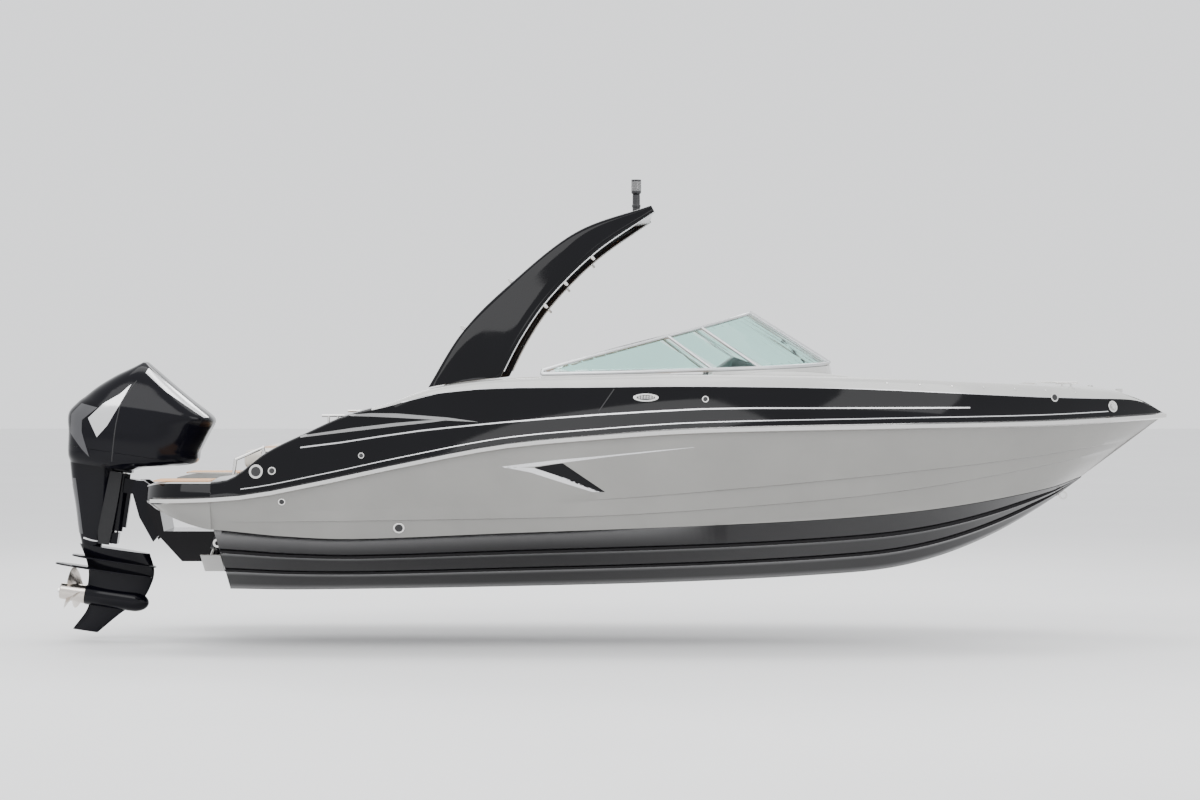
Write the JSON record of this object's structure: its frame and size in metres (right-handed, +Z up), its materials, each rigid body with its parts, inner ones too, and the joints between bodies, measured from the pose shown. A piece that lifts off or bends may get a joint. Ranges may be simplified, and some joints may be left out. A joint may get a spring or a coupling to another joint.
{
  "type": "outboard bowrider speedboat",
  "caption": "Open bowrider speedboat with a wraparound windshield, sport arch, swim platform, cockpit and bow seating, and a tilting, steering outboard motor.",
  "frame": {"origin": "on the centreline at the waterline, amidships", "axes": "+X to the bow, +Y to port, +Z up"},
  "size_m": [7.6634, 2.5844, 3.1238],
  "materials": {
    "gelcoat_pale": "gloss",
    "gelcoat_dark": "gloss",
    "rail_steel": "polished",
    "frame_alloy": "satin",
    "screen_glass": "clear",
    "deck_teak": "matt",
    "dark_plastic": "satin",
    "vinyl": "satin",
    "engine_black": "gloss",
    "engine_block": "matt",
    "propeller_steel": "polished"
  },
  "bodies": {
    "boat": {"hull_shell": "gelcoat_pale", "deck": "gelcoat_dark", "rub_rail": "rail_steel", "cockpit_sole": "deck_teak", "swim_platform": "gelcoat_dark", "platform_mats": "deck_teak", "engine_pod": "gelcoat_dark", "windshield_base": "gelcoat_pale", "windshield_frame": "frame_alloy", "side_glass": "screen_glass", "front_glass": "screen_glass", "sport_arch": "gelcoat_dark", "arch_light": "dark_plastic", "helm_console": "gelcoat_pale", "port_console": "gelcoat_pale", "dash_hood": "dark_plastic", "throttle": "dark_plastic", "seat_pedestals": "rail_steel", "stern_bench": "vinyl", "sun_pad": "vinyl", "bow_cushions": "vinyl", "deck_hardware": "rail_steel", "side_fittings": "rail_steel", "bow_eye": "rail_steel", "stern_eyes": "rail_steel", "grab_rails": "rail_steel", "clamp_bracket": "engine_black"},
    "tilt_unit": {"swivel_bracket": "engine_black"},
    "motor": {"midsection": "engine_black", "lower_cowl": "engine_black", "top_cowl": "engine_black", "powerhead": "engine_block", "gearcase": "engine_black"},
    "propeller": {"propeller": "propeller_steel"},
    "helm_wheel": {"steering_wheel": "dark_plastic"},
    "center_window": {"center_window": "screen_glass"},
    "walkthrough_door": {"walkthrough_door": "gelcoat_pale"},
    "anchor_locker_lid": {"anchor_locker_lid": "gelcoat_pale"},
    "helm_seat": {"helm_seat": "vinyl"},
    "companion_seat": {"companion_seat": "vinyl"},
    "trim_tab_port": {"trim_tab_port": "rail_steel"},
    "trim_tab_starboard": {"trim_tab_starboard": "rail_steel"},
    "tab_barrel_port": {"tab_barrel_port": "dark_plastic"},
    "tab_barrel_starboard": {"tab_barrel_starboard": "dark_plastic"},
    "tab_rod_port": {"tab_rod_port": "rail_steel"},
    "tab_rod_starboard": {"tab_rod_starboard": "rail_steel"}
  },
  "joints": [
    {"name": "motor_tilt", "type": "hinge", "parent": "boat", "child": "tilt_unit", "pos_m": [-2.617, 0, 0.269], "axis": [0, 1, 0], "range_deg": [-14, 58]},
    {"name": "motor_steer", "type": "hinge", "parent": "tilt_unit", "child": "motor", "pos_m": [-2.74557, 0, 0.28822], "axis": [0.1478, 0, 0.989], "range_deg": [-30, 30]},
    {"name": "propeller_spin", "type": "hinge", "parent": "motor", "child": "propeller", "pos_m": [-3.09055, 0, -0.46406], "axis": [0.989, 0, -0.1478], "continuous": true},
    {"name": "helm_wheel_turn", "type": "hinge", "parent": "boat", "child": "helm_wheel", "pos_m": [1.185, -0.66968, 0.90574], "axis": [-0.8829, 0, 0.4695], "range_deg": [-630, 630]},
    {"name": "center_window_swing", "type": "hinge", "parent": "boat", "child": "center_window", "pos_m": [2.10955, 0.283, 1.12255], "axis": [-0.8399, -0.0991, 0.5337], "range_deg": [0, 140]},
    {"name": "walkthrough_door_swing", "type": "hinge", "parent": "boat", "child": "walkthrough_door", "pos_m": [1.95, 0.2797, 0.5], "axis": [0, 0, -1], "range_deg": [0, 90]},
    {"name": "anchor_locker_open", "type": "hinge", "parent": "boat", "child": "anchor_locker_lid", "pos_m": [3.93, 0, 0.95841], "axis": [0, 1, 0], "range_deg": [0, 95]},
    {"name": "helm_seat_swivel", "type": "hinge", "parent": "boat", "child": "helm_seat", "pos_m": [0.67, -0.66968, 0.3], "axis": [0, 0, 1], "range_deg": [-180, 180]},
    {"name": "companion_seat_swivel", "type": "hinge", "parent": "boat", "child": "companion_seat", "pos_m": [0.67, 0.66968, 0.3], "axis": [0, 0, 1], "range_deg": [-180, 180]},
    {"name": "trim_tab_port_angle", "type": "hinge", "parent": "boat", "child": "trim_tab_port", "pos_m": [-2.0063, 0.47144, -0.23535], "axis": [0, 0.9117, 0.4109], "range_deg": [-14, 6]},
    {"name": "tab_barrel_port_pivot", "type": "hinge", "parent": "boat", "child": "tab_barrel_port", "pos_m": [-2.034, 0.38165, -0.03615], "axis": [0, 0.9117, 0.4109], "range_deg": [-12, 12]},
    {"name": "tab_rod_port_stroke", "type": "slide", "parent": "tab_barrel_port", "child": "tab_rod_port", "axis": [-0.2787, 0.3946, -0.8756], "range_m": [-0.03, 0.05]},
    {"name": "trim_tab_starboard_angle", "type": "hinge", "parent": "boat", "child": "trim_tab_starboard", "pos_m": [-2.0063, -0.47144, -0.23535], "axis": [0, 0.9117, -0.4109], "range_deg": [-14, 6]},
    {"name": "tab_barrel_starboard_pivot", "type": "hinge", "parent": "boat", "child": "tab_barrel_starboard", "pos_m": [-2.034, -0.38165, -0.03615], "axis": [0, 0.9117, -0.4109], "range_deg": [-12, 12]},
    {"name": "tab_rod_starboard_stroke", "type": "slide", "parent": "tab_barrel_starboard", "child": "tab_rod_starboard", "axis": [-0.2787, -0.3946, -0.8756], "range_m": [-0.03, 0.05]}
  ],
  "couplings": [
    {"joint": "helm_wheel_turn", "follows": "motor_steer", "ratio": 21},
    {"joint": "tab_barrel_port_pivot", "follows": "trim_tab_port_angle", "ratio": -0.0058},
    {"joint": "tab_rod_port_stroke", "follows": "trim_tab_port_angle", "m_per_rad": -0.08749},
    {"joint": "tab_barrel_starboard_pivot", "follows": "trim_tab_starboard_angle", "ratio": -0.0058},
    {"joint": "tab_rod_starboard_stroke", "follows": "trim_tab_starboard_angle", "m_per_rad": -0.08749}
  ]
}
